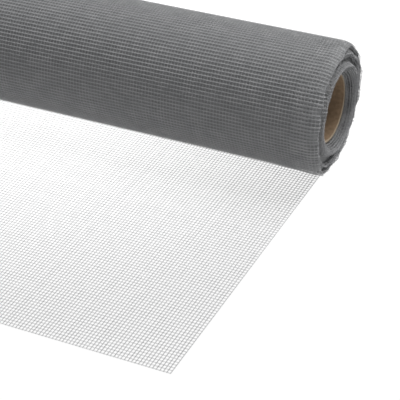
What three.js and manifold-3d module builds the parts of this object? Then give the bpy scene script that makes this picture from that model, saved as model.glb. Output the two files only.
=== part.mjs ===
// A roll of fibreglass insect screen on a cardboard core, with its free end laid out on the floor.
// Millimetres. X runs along the roll, +Z is up, and the free end lies towards -Y.
// The origin is on the floor under the roll's axis, midway between the free end's two side edges.

import * as THREE from "three";
import { mergeVertices } from "three/addons/utils/BufferGeometryUtils.js";
import Module from "manifold-3d";

const wasm = await Module();
wasm.setup();

// The cloth
const CLOTH_WIDTH = 600;
const CLOTH_THICKNESS = 0.3;
const FREE_LENGTH = 146; // from under the roll's axis to the cut end

// The free end is see-through, and a plain grid of openings stands for its fine mesh
const OPENINGS_ACROSS = 12;
const OPENINGS_ALONG = 3;
const GRID_BAR = 9; // about a third of the cloth is yarn, and so is about a third of the grid
const GRID_START = 12; // from under the roll's axis to the first openings

// The cardboard core
const CORE_LENGTH = 600;
const CORE_OUTER_DIAMETER = 30;
const CORE_WALL = 1.2;
const CORE_SHIFT = 1; // how far its +X end stands past the free end's side edge
const CORE_CLEARANCE = 0.3; // between the tube and the first turn

// The turns wound tightly on the core, from the inside out
const TIGHT_TURNS = 17;
const TURN_PITCH = 0.3;
const TURNS_PER_STEP = 3.4; // turns that share one step on the roll's end
const STEP_GROOVE_WIDTH = 0.2;
const STEP_GROOVE_DEPTH = 0.7;
const FIRST_TURN_SHIFT = 1.6; // each shift is how far a turn's +X edge stands past the free end's
const TIGHT_TURN_SHIFT = 5.3;
const FUNNEL_TURNS = 9; // the inner turns that slid back step by step, as a shallow funnel

// The last turns lie in two groups, whose edges have sprung open at the ends of the roll
const GROUP_TURNS = 4;
const INNER_GAP = 3.1;
const INNER_GROUP_SHIFT = 4.4;
const OUTER_GAP = 2;
const OUTER_GROUP_SHIFT = 4.8;
const OPEN_GAP_DEPTH = 10; // how deep the gaps inside the groups are cut into the end

// How finely round things are made: a flat of the roll faces straight down
const SIDES = 48;

const coreRadius = CORE_OUTER_DIAMETER / 2;
const woundRadius = coreRadius + CORE_CLEARANCE;
const tightRadius = woundRadius + TIGHT_TURNS * TURN_PITCH;
const groupThickness = GROUP_TURNS * TURN_PITCH;
const innerGroupRadius = tightRadius + INNER_GAP + groupThickness;
const rollRadius = innerGroupRadius + OUTER_GAP + groupThickness;
const edge = CLOTH_WIDTH / 2;

// Colours and finishes
const screenMaterial = new THREE.MeshStandardMaterial({ color: 0x6e7072, roughness: 0.62, metalness: 0 });
const boardMaterial = new THREE.MeshStandardMaterial({ color: 0x9a7650, roughness: 0.9, metalness: 0 });

// A closed mesh as a solid that can be joined to another one.
function toSolid(geometry) {
  const bare = geometry.clone();
  bare.deleteAttribute("normal");
  bare.deleteAttribute("uv");
  const merged = mergeVertices(bare, 1e-4);
  const vertProperties = new Float32Array(merged.attributes.position.array);
  const triVerts = new Uint32Array(merged.index.array);
  return new wasm.Manifold(new wasm.Mesh({ numProp: 3, vertProperties, triVerts }));
}

// A solid as a three.js geometry.
function toGeometry(solid) {
  const mesh = solid.getMesh();
  const geometry = new THREE.BufferGeometry();
  geometry.setAttribute("position", new THREE.BufferAttribute(new Float32Array(mesh.vertProperties), 3));
  geometry.setIndex(new THREE.BufferAttribute(new Uint32Array(mesh.triVerts), 1));
  geometry.computeVertexNormals();
  return geometry;
}

// Turns a closed outline of [radius, x] points about the X axis. The outline goes outwards at its -X end.
// Each radius is measured to the middle of a flat, so that one flat is level underneath.
function turned(outline) {
  const cornerShare = 1 / Math.cos(Math.PI / SIDES);
  const points = outline.map(([radius, x]) => new THREE.Vector2(radius * cornerShare, x));
  points.push(points[0].clone());
  const geometry = new THREE.LatheGeometry(points, SIDES, Math.PI / SIDES);
  geometry.rotateZ(-Math.PI / 2);
  return geometry;
}

// How far the +X edge of the tight turn at a radius stands past the free end's side edge.
function tightShift(radius) {
  const share = (radius - woundRadius) / (FUNNEL_TURNS * TURN_PITCH);
  return THREE.MathUtils.lerp(FIRST_TURN_SHIFT, TIGHT_TURN_SHIFT, Math.min(share, 1));
}

// One end of the tight turns, from the bore outwards: a step for each few turns, with a groove between.
// side is 1 at the +X end and -1 at the other, which has the same steps because every turn is as wide.
function tightEnd(side) {
  const steps = Math.ceil(TIGHT_TURNS / TURNS_PER_STEP);
  const stepWidth = (TIGHT_TURNS * TURN_PITCH) / steps;
  const outline = [];
  for (let step = 0; step < steps; step += 1) {
    const inner = woundRadius + step * stepWidth;
    const outer = inner + stepWidth;
    const x = side * edge + tightShift((inner + outer) / 2);
    const grooveX = x - side * STEP_GROOVE_DEPTH;
    outline.push([inner, x]);
    if (step === steps - 1) {
      outline.push([outer, x]);
    } else {
      outline.push([outer - STEP_GROOVE_WIDTH, x]);
      outline.push([outer - STEP_GROOVE_WIDTH, grooveX]);
      outline.push([outer, grooveX]);
    }
  }
  return outline;
}

// One end of the two open groups, with the gap inside each of them.
function openEnd(side) {
  const innerX = side * edge + INNER_GROUP_SHIFT;
  const outerX = side * edge + OUTER_GROUP_SHIFT;
  const floorX = outerX - side * OPEN_GAP_DEPTH;
  return [
    [tightRadius, floorX],
    [innerGroupRadius - groupThickness, floorX],
    [innerGroupRadius - groupThickness, innerX],
    [innerGroupRadius, innerX],
    [innerGroupRadius, floorX],
    [rollRadius - groupThickness, floorX],
    [rollRadius - groupThickness, outerX],
    [rollRadius, outerX],
  ];
}

// All the wound turns as one turned body, bored for the core.
function woundTurns() {
  const nearOutline = [...tightEnd(1), ...openEnd(1)];
  const farOutline = [...tightEnd(-1), ...openEnd(-1)];
  const geometry = turned([...farOutline, ...nearOutline.reverse()]);
  geometry.translate(0, 0, rollRadius);
  return toSolid(geometry);
}

// The free end, a flat openwork sheet on the floor that runs in under the roll.
function freeEnd() {
  const sheet = new THREE.BoxGeometry(CLOTH_WIDTH, FREE_LENGTH, CLOTH_THICKNESS);
  sheet.translate(0, -FREE_LENGTH / 2, CLOTH_THICKNESS / 2);
  const pitchAcross = (CLOTH_WIDTH - GRID_BAR) / OPENINGS_ACROSS;
  const pitchAlong = (FREE_LENGTH - GRID_START) / OPENINGS_ALONG;
  const opening = new THREE.BoxGeometry(pitchAcross - GRID_BAR, pitchAlong - GRID_BAR, 3 * CLOTH_THICKNESS);
  const openings = [];
  for (let across = 0; across < OPENINGS_ACROSS; across += 1) {
    for (let along = 0; along < OPENINGS_ALONG; along += 1) {
      const x = (across + 0.5 - OPENINGS_ACROSS / 2) * pitchAcross;
      const y = -GRID_START - (along + 0.5) * pitchAlong + GRID_BAR / 2;
      openings.push(toSolid(opening).translate([x, y, 0]));
    }
  }
  return toSolid(sheet).subtract(wasm.Manifold.union(openings));
}

// The wound and the free screen are one length of cloth.
function insectScreen() {
  const mesh = new THREE.Mesh(toGeometry(woundTurns().add(freeEnd())), screenMaterial);
  mesh.name = "insect_screen";
  return mesh;
}

// The cardboard tube that the cloth is wound on.
function coreTube() {
  const middle = edge + CORE_SHIFT - CORE_LENGTH / 2;
  const low = middle - CORE_LENGTH / 2;
  const high = middle + CORE_LENGTH / 2;
  const boreRadius = coreRadius - CORE_WALL;
  const geometry = turned([
    [boreRadius, low],
    [coreRadius, low],
    [coreRadius, high],
    [boreRadius, high],
  ]);
  const mesh = new THREE.Mesh(geometry, boardMaterial);
  mesh.name = "core_tube";
  mesh.position.set(0, 0, rollRadius);
  return mesh;
}

const screenRoll = new THREE.Group();
screenRoll.name = "insect_screen_roll";
screenRoll.add(insectScreen(), coreTube());

export default screenRoll;
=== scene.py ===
# %% [markdown]
# # A roll of fibreglass insect screen
# The object is one length of woven screen on a cardboard core, with its free end laid on the floor.
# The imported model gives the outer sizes: the script reads it first and builds the looks around it.
# The cloth is see-through, so it is modelled thread by thread, and a pattern on a solid wouldn't do:
# the grid that the eye sees on the roll comes from looking through one turn at the turns below it.

import math
import random
from bisect import bisect_left

import bmesh
import bpy
from mathutils import Euler, Matrix, Vector


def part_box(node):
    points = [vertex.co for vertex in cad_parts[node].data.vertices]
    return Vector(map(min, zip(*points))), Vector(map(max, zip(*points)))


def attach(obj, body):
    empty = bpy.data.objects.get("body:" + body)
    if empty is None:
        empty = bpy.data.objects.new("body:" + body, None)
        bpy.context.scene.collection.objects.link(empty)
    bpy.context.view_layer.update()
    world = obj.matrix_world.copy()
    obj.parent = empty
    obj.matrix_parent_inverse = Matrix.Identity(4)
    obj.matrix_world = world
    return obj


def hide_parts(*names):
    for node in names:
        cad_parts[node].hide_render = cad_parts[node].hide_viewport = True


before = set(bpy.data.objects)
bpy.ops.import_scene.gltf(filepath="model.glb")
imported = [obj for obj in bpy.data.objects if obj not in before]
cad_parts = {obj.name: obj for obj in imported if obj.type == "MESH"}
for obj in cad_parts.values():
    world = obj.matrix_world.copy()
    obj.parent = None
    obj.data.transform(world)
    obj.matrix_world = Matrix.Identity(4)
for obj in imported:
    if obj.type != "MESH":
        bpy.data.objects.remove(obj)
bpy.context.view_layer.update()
MM = 0.001  # the frame is in metres, and the sizes below are in millimetres

# %% [markdown]
# ## The camera
# A long lens stands about 0.8 m away and looks down on the +X end of the roll, turned to the left.
# Its place was worked out from the straight edges of the free end, whose thread spacing is known.
# The picture is square, so the focal length in pixels gives the lens directly.

# %% Camera
PICTURE_PX = 400
SENSOR_MM = 36
FOCAL_PX = 1590
EYE_MM = Vector((506.7, -518.0, 363.6))
TURN_LEFT_DEG = 27.34
LOOK_DOWN_DEG = 34.32
LEAN_DEG = 2.34

camera_data = bpy.data.cameras.new("camera")
camera_data.sensor_width = SENSOR_MM
camera_data.lens = SENSOR_MM * FOCAL_PX / PICTURE_PX
camera_data.clip_start = 0.01  # metres
camera_data.clip_end = 50
camera = bpy.data.objects.new("camera", camera_data)
bpy.context.scene.collection.objects.link(camera)
aim = Euler((math.radians(90 - LOOK_DOWN_DEG), 0, math.radians(TURN_LEFT_DEG))).to_matrix().to_4x4()
lean = Matrix.Rotation(math.radians(-LEAN_DEG), 4, "Z")
camera.matrix_world = Matrix.Translation(EYE_MM * MM) @ aim @ lean
bpy.context.scene.camera = camera
print("lens in mm:", round(camera_data.lens, 1))

# %% [markdown]
# ## The sizes that the frame gives
# The roll lies along X with its lowest flat on the floor, and the free end runs towards -Y.
# The radius, the free end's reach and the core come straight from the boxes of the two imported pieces.

# %% Sizes from the frame
screen_low, screen_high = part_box("insect_screen")
core_low, core_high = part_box("core_tube")
HALF_WIDTH = -screen_low.x / MM
FREE_REACH = -screen_low.y / MM
ROLL_RADIUS = (screen_high.z - screen_low.z) / 2 / MM
CORE_RADIUS = (core_high.z - core_low.z) / 2 / MM
AXIS_Z = ROLL_RADIUS
print("half width:", round(HALF_WIDTH, 1), "free reach:", round(FREE_REACH, 1))
print("roll radius:", round(ROLL_RADIUS, 2), "core radius:", round(CORE_RADIUS, 2))

# %% [markdown]
# ## The cloth's facts
# This is standard screen of 18 by 16 threads to the inch, woven from coated fibreglass yarn.
# The warp runs along the cloth and so goes round the roll, and the weft runs across it, along X.
# The inner turns are tight on the core. The last ones lie in two groups of a few turns each, whose
# edges have sprung open, so each group has a gap inside it at the ends of the roll.

# %% Cloth sizes in millimetres
INCH = 25.4
WARP_PITCH = INCH / 18
WEFT_PITCH = INCH / 16
YARN = 0.28
WEFT_LIFT = 0.06  # the weft lies a little over the warp
WARP_COUNT = round(2 * HALF_WIDTH / WARP_PITCH) + 1
SELVEDGE = HALF_WIDTH - (WARP_COUNT - 1) / 2 * WARP_PITCH  # cloth outside the last warp yarn
CORE_WALL = 1.2
BORE_GAP = 0.3  # between the core and the first turn
TURN_PITCH = 0.3
TIGHT_TURNS = 17
GROUP_TURNS = 4
OUTER_GAP = 2.0  # between the two open groups
FIRST_TURN_RADIUS = CORE_RADIUS + BORE_GAP + TURN_PITCH / 2
TIGHT_RADIUS = FIRST_TURN_RADIUS + (TIGHT_TURNS - 1) * TURN_PITCH
OUTER_RADIUS = ROLL_RADIUS - YARN / 2
INNER_RADIUS = OUTER_RADIUS - GROUP_TURNS * TURN_PITCH - OUTER_GAP
radii = TIGHT_RADIUS, INNER_RADIUS, OUTER_RADIUS
print("warp yarns:", WARP_COUNT, "radii:", [round(radius, 2) for radius in radii])

# %% [markdown]
# ## The way the cloth goes
# The cloth's path is a flat run and then a spiral. Turns are counted from the point where it leaves
# the floor: it rises on the far side, comes over the top and goes down on the near side.
# Between two groups the spiral steps inwards within a third of a turn.
# Each turn has also slid a little along X. The outer group leans, with its edge further out on the
# near side and the top, and the tight turns near the core have slid back, which makes a shallow funnel.
# In the two open groups each turn has slid back a little behind the one over it, and every other tight
# turn stands out a little, so that the end of the roll shows as rings.

# %% Path of the cloth
STEPS_PER_TURN = 40  # points along one turn of the path
STEP_IN_TURNS = 0.35
INNER_START = GROUP_TURNS + STEP_IN_TURNS
TIGHT_START = 2 * INNER_START
ALL_TURNS = TIGHT_START + TIGHT_TURNS - 1
GROUPS = [  # (first turn, radius)
    (0.0, OUTER_RADIUS),
    (INNER_START, INNER_RADIUS),
    (TIGHT_START, TIGHT_RADIUS),
]
OUTER_EDGE = [  # (part of a turn, slide)
    (0.0, 2.0),
    (0.12, 2.4),
    (0.28, 3.7),
    (0.4, 3.9),
    (0.52, 6.5),
    (0.6, 5.6),
    (0.7, 6.2),
    (0.8, 5.9),
    (1.0, 2.0),
]
INNER_EDGE = [(0.0, 3.0), (0.25, 4.2), (0.5, 4.7), (0.75, 4.4), (1.0, 3.0)]
TIGHT_EDGE = [(0, 1.4), (9, 4.2), (14, 5.5), (16, 5.3)]  # (turns from the core, slide)
TAIL_EDGE = [(-0.05, 0.0), (0.03, 2.0)]  # where the free end runs in
BACK_PER_TURN = 0.3
SAGGED_BACK = [(9, 0.0), (16, 2.6)]  # how far the outer tight turns have slid back underneath
UNDERNEATH = [(0.08, 1.0), (0.33, 0.0)]  # (part of a turn from the lowest line, share of that slide)
STAGGER = 0.4  # every other tight turn stands out this much, and the ones between stand back


def blend(value, stops):
    """The height at value of a smooth line through (place, height) stops."""
    if value <= stops[0][0]:
        return stops[0][1]
    for (place_a, height_a), (place_b, height_b) in zip(stops, stops[1:]):
        if value <= place_b:
            share = (value - place_a) / (place_b - place_a)
            return height_a + (height_b - height_a) * share * share * (3 - 2 * share)
    return stops[-1][1]


def step_in(turns):
    """The group that a turn belongs to and how far it has stepped in to the next one, from 0 to 1."""
    group = sum(turns >= start for start, _ in GROUPS[1:])
    if group == len(GROUPS) - 1:
        return group, 0.0
    start = GROUPS[group + 1][0]
    return group, blend(turns, [(start - STEP_IN_TURNS, 0.0), (start, 1.0)])


def radius_at(turns):
    """Radius of the cloth's middle, after so many turns from the floor."""
    group, share = step_in(turns)
    start, radius = GROUPS[group]
    radius -= (turns - start) * TURN_PITCH
    return radius if share == 0 else radius + (GROUPS[group + 1][1] - radius) * share


def slide_at(turns):
    """How far the cloth's +X edge stands past the free end's edge."""
    group, share = step_in(turns)
    from_core = (radius_at(turns) - FIRST_TURN_RADIUS) / TURN_PITCH
    underneath = blend(min(turns % 1, 1 - turns % 1), UNDERNEATH)
    slides = [
        blend(turns % 1, OUTER_EDGE) - turns * BACK_PER_TURN,
        blend(turns % 1, INNER_EDGE) - max(0.0, turns - INNER_START) * BACK_PER_TURN,
        blend(from_core, TIGHT_EDGE)
        - blend(from_core, SAGGED_BACK) * underneath
        + STAGGER * math.sin(math.pi * from_core),
    ]
    if turns < TAIL_EDGE[-1][0]:
        return blend(turns, TAIL_EDGE)
    return slides[group] if share == 0 else slides[group] + (slides[group + 1] - slides[group]) * share


def spiral_point(turns, lift=0.0):
    """(slide, y, z) on the spiral, lifted outwards from it."""
    radius = radius_at(turns) + lift
    angle = math.tau * turns
    return Vector((slide_at(turns), radius * math.sin(angle), AXIS_Z - radius * math.cos(angle)))


step_turns = [i / STEPS_PER_TURN for i in range(int(ALL_TURNS * STEPS_PER_TURN) + 1)]
step_lengths = [FREE_REACH]
for turns_a, turns_b in zip(step_turns, step_turns[1:]):
    step = (spiral_point(turns_b) - spiral_point(turns_a)).length
    step_lengths.append(step_lengths[-1] + step)


def turns_at(length):
    """Turns from the floor at a length of cloth from the cut end."""
    i = min(max(bisect_left(step_lengths, length), 1), len(step_lengths) - 1)
    share = (length - step_lengths[i - 1]) / (step_lengths[i] - step_lengths[i - 1])
    return step_turns[i - 1] + share / STEPS_PER_TURN


print("cloth in mm:", round(step_lengths[-1]), "in turns:", ALL_TURNS)

# %% [markdown]
# ## Helpers for materials
# Colours are written as they look on a screen, in hex, and one function turns them into the linear
# values that a shader works with. Another adds a node with its settings and its incoming links.
# Every finish here is a noise that picks a shade between two tones, so both have a function too.

# %% Material helpers


def linear(hex_colour):
    """An sRGB hex colour as a linear RGBA value."""
    channels = [int(hex_colour[i:i + 2], 16) / 255 for i in (1, 3, 5)]
    return (*[c / 12.92 if c <= 0.04045 else ((c + 0.055) / 1.055) ** 2.4 for c in channels], 1.0)


def add_node(tree, kind, settings=None, inputs=None):
    """Adds a node; settings are its own values, and inputs are socket values or other nodes' outputs."""
    node = tree.nodes.new(kind)
    for name, value in (settings or {}).items():
        setattr(node, name, value)
    for name, value in (inputs or {}).items():
        if isinstance(value, bpy.types.NodeSocket):
            tree.links.new(value, node.inputs[name])
        else:
            node.inputs[name].default_value = value
    return node


def add_noise(tree, place, scale, detail):
    """A noise from 0 to 1 over a place."""
    noise = add_node(tree, "ShaderNodeTexNoise", inputs={
        "Vector": place,
        "Scale": scale,
        "Detail": detail,
    })
    return noise.outputs["Fac"]


def add_two_tones(tree, factor, dark, light, margin):
    """A colour that goes from dark to light as the factor goes from margin to 1 - margin."""
    ramp = add_node(tree, "ShaderNodeValToRGB", inputs={"Fac": factor})
    for element, place, tone in zip(ramp.color_ramp.elements, (margin, 1 - margin), (dark, light)):
        element.position = place
        element.color = linear(tone)
    return ramp.outputs["Color"]


def new_material(name):
    """An empty material and its tree, with only a Principled shader and an output."""
    material = bpy.data.materials.new(name)
    material.use_nodes = True
    tree = material.node_tree
    tree.nodes.clear()
    shader = add_node(tree, "ShaderNodeBsdfPrincipled")
    add_node(tree, "ShaderNodeOutputMaterial", inputs={"Surface": shader.outputs["BSDF"]})
    return material, tree, shader


# %% [markdown]
# ## The yarn's finish
# Each yarn is a bundle of glass filaments dipped in grey vinyl: smooth, slightly uneven and satin.
# The vinyl gives the eye a soft highlight along every thread and no weave of its own.
# The coat is thicker in places, so the grey changes a little over a few millimetres of yarn.
# The weft has lighter greys than the warp. That is a painted highlight: in this light each weft catches a
# sheen along its length, and the warp does not.

# %% Vinyl-coated yarn
# painted highlight: the weft's greys are lighter than the warp's, for the sheen that each weft catches
WEFT_GREYS_WITH_PAINTED_HIGHLIGHT = "#aeaeaf", "#a0a1a2"  # light and dark
WARP_GREYS = "#929294", "#838486"
VINYL_IOR = 1.5
COAT_PATCH_MM = 5.0
COAT_RIPPLE_MM = 0.5
RIPPLE_RELIEF_MM = YARN / 4
RIPPLE_STRENGTH = 0.25
COAT_ROUGHNESS = 0.5, 0.65


def vinyl_coated_glass_yarn(name, light, dark):
    """Satin vinyl, in patches of two greys, with a fine ripple in its gloss and its surface."""
    material, tree, shader = new_material(name)
    place = add_node(tree, "ShaderNodeTexCoord").outputs["Object"]
    patch = add_noise(tree, place, scale=1 / (COAT_PATCH_MM * MM), detail=3.0)
    ripple = add_noise(tree, place, scale=1 / (COAT_RIPPLE_MM * MM), detail=2.0)
    greys = add_two_tones(tree, patch, dark, light, margin=0.35)
    bump = add_node(tree, "ShaderNodeBump", inputs={
        "Height": ripple,
        "Strength": RIPPLE_STRENGTH,
        "Distance": RIPPLE_RELIEF_MM * MM,
    })
    gloss = add_node(tree, "ShaderNodeMapRange", inputs={
        "Value": ripple,
        "To Min": COAT_ROUGHNESS[0],
        "To Max": COAT_ROUGHNESS[1],
    })
    tree.links.new(greys, shader.inputs["Base Color"])
    tree.links.new(gloss.outputs["Result"], shader.inputs["Roughness"])
    tree.links.new(bump.outputs["Normal"], shader.inputs["Normal"])
    shader.inputs["IOR"].default_value = VINYL_IOR
    return material


warp_finish = vinyl_coated_glass_yarn("vinyl coated glass warp", *WARP_GREYS)
weft_finish = vinyl_coated_glass_yarn("vinyl coated glass weft", *WEFT_GREYS_WITH_PAINTED_HIGHLIGHT)
print("materials:", warp_finish.name, "and", weft_finish.name)

# %% [markdown]
# ## Weaving with curves
# A yarn is a curve with a small round section, and a cloth is hundreds of them in one curve object.
# Curves are quick to lay along a path, and turning them into a mesh at the end gives plain tubes.
# Four sides are enough for a thread that is thinner than a pixel, with its faces shaded smooth.
# The yarns differ a little in thickness and place, as woven ones do, from a seeded random source.

# %% Yarn helpers
SECTION_CORNERS = 4
PITCH_WANDER = 0.05  # how far a yarn lies from its even place at most
GIRTH_WANDER = 0.07  # how much thicker or thinner than the others a yarn is at most, as a share
CAP_JOIN = YARN / 100  # points of a yarn and its cap that are nearer than this are one
rng = random.Random(18)


def start_yarns():
    """An empty curve whose lines become yarns."""
    yarns = bpy.data.curves.new("yarns", "CURVE")
    yarns.materials.append(warp_finish)
    yarns.materials.append(weft_finish)
    yarns.dimensions = "3D"
    yarns.bevel_depth = YARN / 2 * MM
    yarns.bevel_resolution = (SECTION_CORNERS - 4) // 2
    yarns.use_fill_caps = True
    return yarns


def lay_yarn(yarns, points, is_weft):
    """Adds one yarn through points in millimetres."""
    girth = 1 + rng.uniform(-GIRTH_WANDER, GIRTH_WANDER)
    line = yarns.splines.new("POLY")
    line.material_index = int(is_weft)
    line.points.add(len(points) - 1)
    line.points.foreach_set("co", [c for p in points for c in (p[0] * MM, p[1] * MM, p[2] * MM, 1.0)])
    line.points.foreach_set("radius", [girth] * len(points))
    line.use_smooth = True


def finish_mesh(mesh, name, material=None):
    """Puts a mesh in the scene as a piece, with a material unless it has some."""
    mesh.name = name
    if material:
        mesh.materials.append(material)
    piece = bpy.data.objects.new(name, mesh)
    bpy.context.scene.collection.objects.link(piece)
    triangles = sum(len(face.vertices) - 2 for face in mesh.polygons)
    print(name, "has", triangles, "triangles")
    return piece


def weave(yarns, name):
    """Turns the laid yarns into one mesh piece."""
    holder = bpy.data.objects.new("yarns", yarns)
    bpy.context.scene.collection.objects.link(holder)
    view = bpy.context.evaluated_depsgraph_get()
    mesh = bpy.data.meshes.new_from_object(holder.evaluated_get(view))
    bpy.data.objects.remove(holder)
    bpy.data.curves.remove(yarns)
    cloth = bmesh.new()
    cloth.from_mesh(mesh)
    bmesh.ops.remove_doubles(cloth, verts=cloth.verts, dist=CAP_JOIN * MM)
    cloth.to_mesh(mesh)
    cloth.free()
    return finish_mesh(mesh, name)


# %% [markdown]
# ## Laying the two sets of yarns
# Warp yarns follow the path, one beside another across the width. Weft yarns cross them in straight
# lines along X, one after another along the path. Both sets are cut off a little past the last
# yarn that they cross, because the cloth is cut and not hemmed.
# One function lays a stretch of cloth between two lengths, so every stretch shares the same grid.
# The last few millimetres of the wound cloth droop towards the core, except underneath, where the roll
# lies on them. That rounds the roll's rim. Low in front, the outside turn sags away near the roll's ends.

# %% A stretch of cloth
TAIL_MM = 9.0  # the free end's edge drifts over this last stretch before the roll
SHORTEST_STEP = 0.2  # points of a yarn that would be nearer than this are left out
FRAY = 0.1  # how far a cut weft yarn stands out at most
EDGE_WAVE = 0.4  # how far the edge of the loose turns wanders
TIGHT_WAVE = 0.08  # and the edge of the tight ones
WAVE_MM = 11.0
WAVE_DEPTH_MM = 5.0  # and how far into the cloth that is felt
SMALL_WAVE = 0.6  # a smaller wave runs over the first one, this high,
SMALL_PACE = 2.3  # so many times as fast
SMALL_START = 1.0  # and a little ahead
DROOP_DEPTH = 1.5  # how far the cut edge bends in towards the core
DROOP_REACH = 4.5
DROOP_STEPS = 1.0, 2.0, 3.0, 4.5  # distances from the cut edge where a yarn gets a point
DROOP_PLACE = [(0.03, 0.0), (0.25, 1.0)]  # (part of a turn from the lowest line, share of the depth)
SAG_DEPTH = 0.8  # how far the outside turn hangs away from the roll
SAG_REACH = 24.0
SAG_STEPS = 10.0, 17.0, 24.0
SAG_PLACE = [(0.75, 0.0), (0.88, 1.0), (0.97, 0.0)]  # (part of a turn, share of the depth)
warp_places = [
    -HALF_WIDTH + SELVEDGE + i * WARP_PITCH + rng.uniform(-PITCH_WANDER, PITCH_WANDER)
    for i in range(WARP_COUNT)
]


def cloth_point(length, lift=0.0):
    """(slide, y, z) of the cloth at a length from the cut end, lifted from its middle."""
    if length <= FREE_REACH:
        slide = slide_at(0.0) * max(0.0, 1 - (FREE_REACH - length) / TAIL_MM)
        return Vector((slide, length - FREE_REACH, YARN / 2 + lift))
    return spiral_point(turns_at(length), lift)


def straight_out(turns):
    """Direction straight away from the roll's axis, after so many turns."""
    return Vector((0, math.sin(math.tau * turns), -math.cos(math.tau * turns)))


def outwards(turns):
    """The same direction, fading to nothing underneath the roll."""
    part = turns % 1
    return straight_out(turns) * blend(min(part, 1 - part), DROOP_PLACE)


def droop_at(x):
    """How far the wound cloth bends in towards the core, at a place across its width."""
    return DROOP_DEPTH * max(0.0, 1 - (HALF_WIDTH - abs(x)) / DROOP_REACH) ** 2


def sag_at(x, turns):
    """How far the outside turn hangs away from the roll, at a place across its width."""
    share = blend(HALF_WIDTH - abs(x), [(0.0, 1.0), (SAG_REACH, 0.0)])
    return SAG_DEPTH * share * blend(turns, SAG_PLACE)


def bend(x, turns):
    """The shift of the wound cloth at a place across its width, by its droop and its sag."""
    return straight_out(turns) * sag_at(x, turns) - outwards(turns) * droop_at(x)


def edge_wave(length):
    """A slow in and out of the cut edge, only where the cloth is wound."""
    if length <= FREE_REACH:
        return 0.0
    phase = math.tau * (length - FREE_REACH) / WAVE_MM
    wave = EDGE_WAVE if turns_at(length) < TIGHT_START else TIGHT_WAVE
    return wave * (math.sin(phase) + SMALL_WAVE * math.sin(SMALL_PACE * phase + SMALL_START))


def path_between(length_a, length_b):
    """(point, turns, edge wave) between two lengths, close together only where the cloth bends."""
    lengths = [length_a]
    if length_a < FREE_REACH:
        lengths.append(min(length_b, FREE_REACH - TAIL_MM))
        lengths.append(min(length_b, FREE_REACH))
    turns_a = turns_at(max(length_a, FREE_REACH))
    turns_b = turns_at(length_b)
    first = int(turns_a * STEPS_PER_TURN) + 1
    last = int(turns_b * STEPS_PER_TURN)
    lengths += [step_lengths[i] for i in range(first, last + 1)]
    lengths.append(length_b)
    kept = [lengths[0]]
    for length in lengths[1:]:
        if length - kept[-1] > SHORTEST_STEP:
            kept.append(length)
    return [
        (cloth_point(length), turns_at(max(length, FREE_REACH)), edge_wave(length))
        for length in kept
    ]


def lay_stretch(yarns, length_a, length_b, warp_range, weft_from, weft_to):
    """Warp yarns over warp_range and every weft yarn between two lengths, from weft_from to weft_to."""
    path = path_between(length_a, length_b)
    for i in warp_range:
        x = warp_places[i]
        felt = math.exp((abs(x) - HALF_WIDTH) / WAVE_DEPTH_MM)
        points = [Vector((x + wave * felt, 0, 0)) + p + bend(x, turns) for p, turns, wave in path]
        lay_yarn(yarns, points, is_weft=False)
    bends = [side * (HALF_WIDTH - step) for side in (-1, 1) for step in DROOP_STEPS + SAG_STEPS]
    stop = length_b - WEFT_PITCH / 4  # a weft yarn nearer to the end belongs to the next stretch
    number = math.ceil((length_a - SELVEDGE) / WEFT_PITCH)
    while SELVEDGE + number * WEFT_PITCH < stop:
        length = SELVEDGE + number * WEFT_PITCH + rng.uniform(0, PITCH_WANDER)
        place = cloth_point(length, WEFT_LIFT)
        wave = edge_wave(length)
        turns = turns_at(max(length, FREE_REACH))
        low = weft_from - rng.uniform(0, FRAY)
        high = weft_to + rng.uniform(0, FRAY)
        across = [low, *sorted(x for x in bends if low < x < high), high]
        points = [Vector((x + wave, 0, 0)) + place + bend(x, turns) for x in across]
        lay_yarn(yarns, points, is_weft=True)
        number += 1


# %% [markdown]
# ## The free end and the outside turn
# The free end lies flat, so the floor shows through it, and runs on into the turn that wraps the roll.
# They are one piece here, because the yarns pass from one to the other without a break.

# %% Free end and outside turn
turn_ends = [step_lengths[i * STEPS_PER_TURN] for i in range(int(ALL_TURNS) + 1)]
yarns = start_yarns()
lay_stretch(yarns, 0.0, turn_ends[1], range(WARP_COUNT), -HALF_WIDTH, HALF_WIDTH)
outside_turn = weave(yarns, "free_end_and_outside_turn")

# %% [markdown]
# ## The edges of the deeper turns
# The deeper turns are seen only at their cut edges, on the ends of the roll: the rest of the two open
# groups, a centimetre deep, and the tight turns as a fine stack of rings that steps in like a funnel.
# So only those last millimetres of each turn are laid thread by thread, at both ends of the roll.

# %% Edges of the deeper turns
OPEN_EDGE_YARNS = 8  # warp yarns at each end of the roll
TIGHT_EDGE_YARNS = 3


def lay_edges(name, length_a, length_b, yarn_count):
    """The cut edges, so many warp yarns deep, of the turns between two lengths, at both ends."""
    yarns = start_yarns()
    depth = yarn_count * WARP_PITCH
    near = range(yarn_count)
    far = range(WARP_COUNT - yarn_count, WARP_COUNT)
    lay_stretch(yarns, length_a, length_b, near, -HALF_WIDTH, -HALF_WIDTH + depth)
    lay_stretch(yarns, length_a, length_b, far, HALF_WIDTH - depth, HALF_WIDTH)
    return weave(yarns, name)


first_tight_length = turn_ends[math.ceil(TIGHT_START) + 1]
open_edges = lay_edges("edges_of_open_turns", turn_ends[1], first_tight_length, OPEN_EDGE_YARNS)
tight_edges = lay_edges("edges_of_tight_turns", first_tight_length, step_lengths[-1], TIGHT_EDGE_YARNS)

# %% [markdown]
# ## The depth of the roll
# Right under the outside turn the cloth is so many layers deep that hardly any light comes back.
# Those layers are one turned body in dark grey, and the outside turn's grid shows up against it.
# At the roll's ends it stays behind the cut edges, so that it shows only as shade between the rings.

# %% Turned pieces
TURN_SIDES = 128
SHARP_DEGREES = 35


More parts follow.
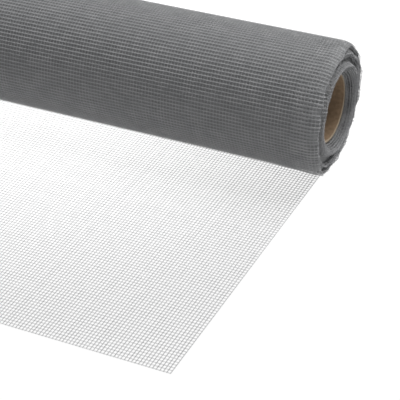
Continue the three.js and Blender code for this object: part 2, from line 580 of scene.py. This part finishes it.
def turn_profile(name, profile, material):
    """Turns a closed profile of (radius, x) points, in millimetres, round the roll's axis."""
    turned = bmesh.new()
    corners = [turned.verts.new((x * MM, 0, (AXIS_Z + radius) * MM)) for radius, x in profile]
    edges = [turned.edges.new(pair) for pair in zip(corners, corners[1:] + corners[:1])]
    bmesh.ops.spin(
        turned,
        geom=corners + edges,
        cent=(0, 0, AXIS_Z * MM),
        axis=(1, 0, 0),
        angle=math.tau,
        steps=TURN_SIDES,
        use_merge=True,
    )
    bmesh.ops.recalc_face_normals(turned, faces=turned.faces)
    for face in turned.faces:
        face.smooth = True
    unrolled = turned.loops.layers.uv.new("unrolled")
    for face in turned.faces:
        middle = face.calc_center_median()
        face_angle = math.atan2(middle.y, middle.z - AXIS_Z * MM)
        for loop in face.loops:
            place = loop.vert.co
            angle = math.atan2(place.y, place.z - AXIS_Z * MM)
            angle += math.tau * round((face_angle - angle) / math.tau)
            loop[unrolled].uv = (angle / math.tau, place.x / MM)
    mesh = bpy.data.meshes.new(name)
    turned.to_mesh(mesh)
    turned.free()
    return finish_mesh(mesh, name, material)


def sharpen_rims(piece):
    """Marks the rims of a turned piece as sharp, so that its smooth shading stops there."""
    shape = bmesh.new()
    shape.from_mesh(piece.data)
    for edge in shape.edges:
        edge.smooth = edge.calc_face_angle() < math.radians(SHARP_DEGREES)
    shape.to_mesh(piece.data)
    shape.free()


# %% [markdown]
# ## The packed layers' finish
# The packed layers are the same grey vinyl seen through many grids that lie at random over each other.
# Their darker grey is painted shade, for the light that those layers take in, with short streaks along the
# roll, one weft spacing apart.

# %% Imported mesh material
# painted shade: this dark grey stands for the light that the many packed layers take in
PACKED_GREYS_IN_PAINTED_SHADE = "#737475", "#656667"  # light and dark
PACKED_ROUGHNESS = 0.7
STREAK_MM = 8.0
STREAK_STRENGTH = 0.5


def packed_screen_mesh(name, light, dark):
    """Two dark greys of painted shade in streaks along the roll, which also stand a little proud of each
    other.
    """
    material, tree, shader = new_material(name)
    unrolled = add_node(tree, "ShaderNodeUVMap", {"uv_map": "unrolled"})
    streaked = add_node(tree, "ShaderNodeMapping", inputs={
        "Vector": unrolled.outputs["UV"],
        "Scale": (math.tau * TIGHT_RADIUS / WEFT_PITCH, 1 / STREAK_MM, 1.0),
    })
    streaks = add_noise(tree, streaked.outputs["Vector"], scale=1.0, detail=2.0)
    greys = add_two_tones(tree, streaks, dark, light, margin=0.3)
    bump = add_node(tree, "ShaderNodeBump", inputs={
        "Height": streaks,
        "Strength": STREAK_STRENGTH,
        "Distance": YARN * MM,
    })
    tree.links.new(greys, shader.inputs["Base Color"])
    tree.links.new(bump.outputs["Normal"], shader.inputs["Normal"])
    shader.inputs["Roughness"].default_value = PACKED_ROUGHNESS
    shader.inputs["IOR"].default_value = VINYL_IOR
    return material


packed_finish = packed_screen_mesh("packed screen mesh", *PACKED_GREYS_IN_PAINTED_SHADE)
print("material:", packed_finish.name)

# %% [markdown]
# ## The packed turns' ends
# The packed body follows the shallow funnel of the tight turns and the two open groups, a little behind
# their cut edges. Looser turns fill the gap under each group from a couple of millimetres in.
# The groups' ends then lean and droop as their cloth does, and fade into the straight roll.

# %% Packed turns
FUNNEL_SHADE = 3.0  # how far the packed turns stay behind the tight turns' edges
LIP_SHADE = 4.6  # and behind the outermost of them, next to the gap
GROUP_SHADE = 0.4  # and behind the edges of the two open groups
GAP_SHADE = 2.2  # looser turns fill the gaps of the open groups from here on


def packed_end(side):
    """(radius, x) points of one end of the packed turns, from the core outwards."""
    edge = side * HALF_WIDTH
    group_x = edge - side * GROUP_SHADE
    gap_x = edge - side * GAP_SHADE
    profile = [
        (FIRST_TURN_RADIUS + turns * TURN_PITCH, edge + slide - side * FUNNEL_SHADE)
        for turns, slide in TIGHT_EDGE[:-1]
    ]
    profile.append((TIGHT_RADIUS - TURN_PITCH, edge + TIGHT_EDGE[-1][1] - side * LIP_SHADE))
    for radius in (INNER_RADIUS, OUTER_RADIUS):
        inner = radius - (GROUP_TURNS - 1) * TURN_PITCH
        outer = radius - TURN_PITCH - YARN / 2
        profile += [
            (inner, gap_x),
            (inner, group_x - (GROUP_TURNS - 1) * BACK_PER_TURN),
            (outer, group_x),
        ]
        if radius == INNER_RADIUS:
            profile.append((outer, gap_x))
    return profile + [(outer, edge - side * step) for step in DROOP_STEPS + SAG_STEPS]


def lean_groups(piece):
    """Slides the ends of the two open groups along X and bends them in, as their cloth has done."""
    for vertex in piece.data.vertices:
        x, y, z = vertex.co / MM
        radius = math.hypot(y, z - AXIS_Z)
        if radius < TIGHT_RADIUS:
            continue
        group_edge = OUTER_EDGE if radius > INNER_RADIUS + OUTER_GAP / 2 else INNER_EDGE
        part = math.atan2(y, AXIS_Z - z) / math.tau % 1
        share = blend(HALF_WIDTH - abs(x), [(DROOP_REACH, 1.0), (SAG_REACH, 0.0)])
        vertex.co.x += blend(part, group_edge) * share * MM
        vertex.co -= outwards(part) * droop_at(x) * MM


packed_turns = turn_profile("packed_turns", packed_end(-1) + packed_end(1)[::-1], packed_finish)
lean_groups(packed_turns)
sharpen_rims(packed_turns)

# %% [markdown]
# ## The core
# The core is a spiral-wound kraft tube: strips of brown paper are glued one over another on a mandrel
# and cut to length. Its bore shows the strip's helical seams, and the cut end is paler than the rest.

# %% Kraft paperboard
KRAFT_BROWN = "#826c54"
KRAFT_DARK = "#6a5742"
KRAFT_CUT = "#948672"
STRIP_LEAD = 60.0  # how far along the tube a seam goes in one turn
SEAM_SHARE = 0.02  # the seam's part of the lead
FIBRE_MM = 1.5
FIBRE_RELIEF_MM = 0.1
FIBRE_STRENGTH = 0.3
KRAFT_ROUGHNESS = 0.85
KRAFT_IOR = 1.5
END_FACING = 0.5  # a face whose normal has more of X in it than this is a cut end


def spiral_wound_kraft_board(name, brown, dark, cut):
    """Brown paper with fibres, darker along the strip's seam and paler on the cut ends."""
    material, tree, shader = new_material(name)
    place = add_node(tree, "ShaderNodeTexCoord")
    unrolled = add_node(tree, "ShaderNodeUVMap", {"uv_map": "unrolled"})
    fibres = add_noise(tree, place.outputs["Object"], scale=1 / (FIBRE_MM * MM), detail=5.0)
    # the seam is where the distance along the tube, less a share of a turn, is a whole strip
    wound = add_node(tree, "ShaderNodeVectorMath", {"operation": "DOT_PRODUCT"}, {
        0: unrolled.outputs["UV"],
        1: (1.0, 1 / STRIP_LEAD, 0.0),
    })
    strip = add_node(tree, "ShaderNodeMath", {"operation": "FRACT"}, {0: wound.outputs["Value"]})
    seam = add_node(tree, "ShaderNodeMath", {"operation": "LESS_THAN"}, {
        0: strip.outputs["Value"],
        1: SEAM_SHARE,
    })
    seamed = add_node(tree, "ShaderNodeMix", {"data_type": "RGBA"}, {
        "Factor": seam.outputs["Value"],
        "A": add_two_tones(tree, fibres, dark, brown, margin=0.3),
        "B": linear(dark),
    })
    facing = add_node(tree, "ShaderNodeSeparateXYZ", inputs={"Vector": place.outputs["Normal"]})
    along = add_node(tree, "ShaderNodeMath", {"operation": "ABSOLUTE"}, {0: facing.outputs["X"]})
    end_face = add_node(tree, "ShaderNodeMath", {"operation": "GREATER_THAN"}, {
        0: along.outputs["Value"],
        1: END_FACING,
    })
    ended = add_node(tree, "ShaderNodeMix", {"data_type": "RGBA"}, {
        "Factor": end_face.outputs["Value"],
        "A": seamed.outputs["Result"],
        "B": linear(cut),
    })
    bump = add_node(tree, "ShaderNodeBump", inputs={
        "Height": fibres,
        "Strength": FIBRE_STRENGTH,
        "Distance": FIBRE_RELIEF_MM * MM,
    })
    tree.links.new(ended.outputs["Result"], shader.inputs["Base Color"])
    tree.links.new(bump.outputs["Normal"], shader.inputs["Normal"])
    shader.inputs["Roughness"].default_value = KRAFT_ROUGHNESS
    shader.inputs["IOR"].default_value = KRAFT_IOR
    return material


kraft_finish = spiral_wound_kraft_board("spiral-wound kraft board", KRAFT_BROWN, KRAFT_DARK, KRAFT_CUT)
print("material:", kraft_finish.name)

# %% Core tube
CORE_RIM = 0.25  # the cut end's edges are worn off this much
bore_radius = CORE_RADIUS - CORE_WALL
core_ends = core_low.x / MM, core_high.x / MM
core = turn_profile("cardboard_core", [
    (bore_radius + CORE_RIM, core_ends[0]),
    (CORE_RADIUS - CORE_RIM, core_ends[0]),
    (CORE_RADIUS, core_ends[0] + CORE_RIM),
    (CORE_RADIUS, core_ends[1] - CORE_RIM),
    (CORE_RADIUS - CORE_RIM, core_ends[1]),
    (bore_radius + CORE_RIM, core_ends[1]),
    (bore_radius, core_ends[1] - CORE_RIM),
    (bore_radius, core_ends[0] + CORE_RIM),
], kraft_finish)

# %% [markdown]
# ## What each piece stands for
# Every piece stays with the imported model's one body. The four pieces of cloth stand for the imported cloth,
# and the turned core for the imported core.
# A woven sheet's threads cover about a third of it.

# %% Pieces and the imported model
for piece in [outside_turn, open_edges, tight_edges, packed_turns]:
    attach(piece, "root")
    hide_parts("insect_screen")
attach(core, "root")
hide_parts("core_tube")

# %% [markdown]
# ## Floor and light
# The photograph has a white table that glows: it is white right up to the roll, without a shadow,
# and it bleaches the cloth on the left. So the floor is a matt white sheet lit from below, as a light
# table is, a bit brighter towards one place. A soft sun behind the roll and an even sky light the top.

# %% Floor
GLOW_MM = Vector((155.0, 30.0, 0.0))
GLOW_REACH_MM = 200.0
GLOW_EVEN = 0.9
GLOW_EXTRA = 0.76
TABLE_GREY = "#505050"  # a matt white sheet that lets most of the light through gives little back
TABLE_HALF_WIDTH = 6.0  # metres, so wide that its rim is never in the picture

floor_shape = bmesh.new()
bmesh.ops.create_grid(floor_shape, x_segments=1, y_segments=1, size=TABLE_HALF_WIDTH)
floor_mesh = bpy.data.meshes.new("floor")
floor_shape.to_mesh(floor_mesh)
floor_shape.free()
table_top, table_tree, table_shader = new_material("matt white light table")
table_place = add_node(table_tree, "ShaderNodeTexCoord")
from_glow = add_node(table_tree, "ShaderNodeMapping", {"vector_type": "TEXTURE"}, {
    "Vector": table_place.outputs["Object"],
    "Location": GLOW_MM * MM,
    "Scale": (GLOW_REACH_MM * MM,) * 3,
})
glow = add_node(table_tree, "ShaderNodeTexGradient", {"gradient_type": "SPHERICAL"}, {
    "Vector": from_glow.outputs["Vector"],
})
glow_strength = add_node(table_tree, "ShaderNodeMapRange", {"interpolation_type": "SMOOTHSTEP"}, {
    "Value": glow.outputs["Fac"],
    "To Min": GLOW_EVEN,
    "To Max": GLOW_EVEN + GLOW_EXTRA,
})
table_shader.inputs["Base Color"].default_value = linear(TABLE_GREY)
table_shader.inputs["Roughness"].default_value = 1.0
table_shader.inputs["Specular IOR Level"].default_value = 0.0
table_shader.inputs["Emission Color"].default_value = (1, 1, 1, 1)
table_tree.links.new(glow_strength.outputs["Result"], table_shader.inputs["Emission Strength"])
floor = finish_mesh(floor_mesh, "floor", table_top)

# %% Light
SUN_FROM = Vector((0.25, 0.55, 1.1))
SUN_STRENGTH = 3.7
SUN_DEG = 40  # how wide the sun looks, which makes it soft
SKY_STRENGTH = 0.5
FILTER_PX = 1.9  # threads are as soft here as in the photograph

sun_data = bpy.data.lights.new("soft sun", "SUN")
sun_data.energy = SUN_STRENGTH
sun_data.angle = math.radians(SUN_DEG)
sun = bpy.data.objects.new("soft sun", sun_data)
sun.location = SUN_FROM
sun.rotation_euler = (-SUN_FROM).to_track_quat("-Z", "Y").to_euler()
bpy.context.scene.collection.objects.link(sun)

sky = bpy.data.worlds.new("even white sky")
sky.use_nodes = True
background = sky.node_tree.nodes["Background"]
background.inputs["Color"].default_value = (1, 1, 1, 1)
background.inputs["Strength"].default_value = SKY_STRENGTH
bpy.context.scene.world = sky
bpy.context.scene.view_settings.view_transform = "Standard"
bpy.context.scene.cycles.pixel_filter_type = "BLACKMAN_HARRIS"
bpy.context.scene.cycles.filter_width = FILTER_PX
print("sun:", SUN_STRENGTH, "sky:", SKY_STRENGTH)
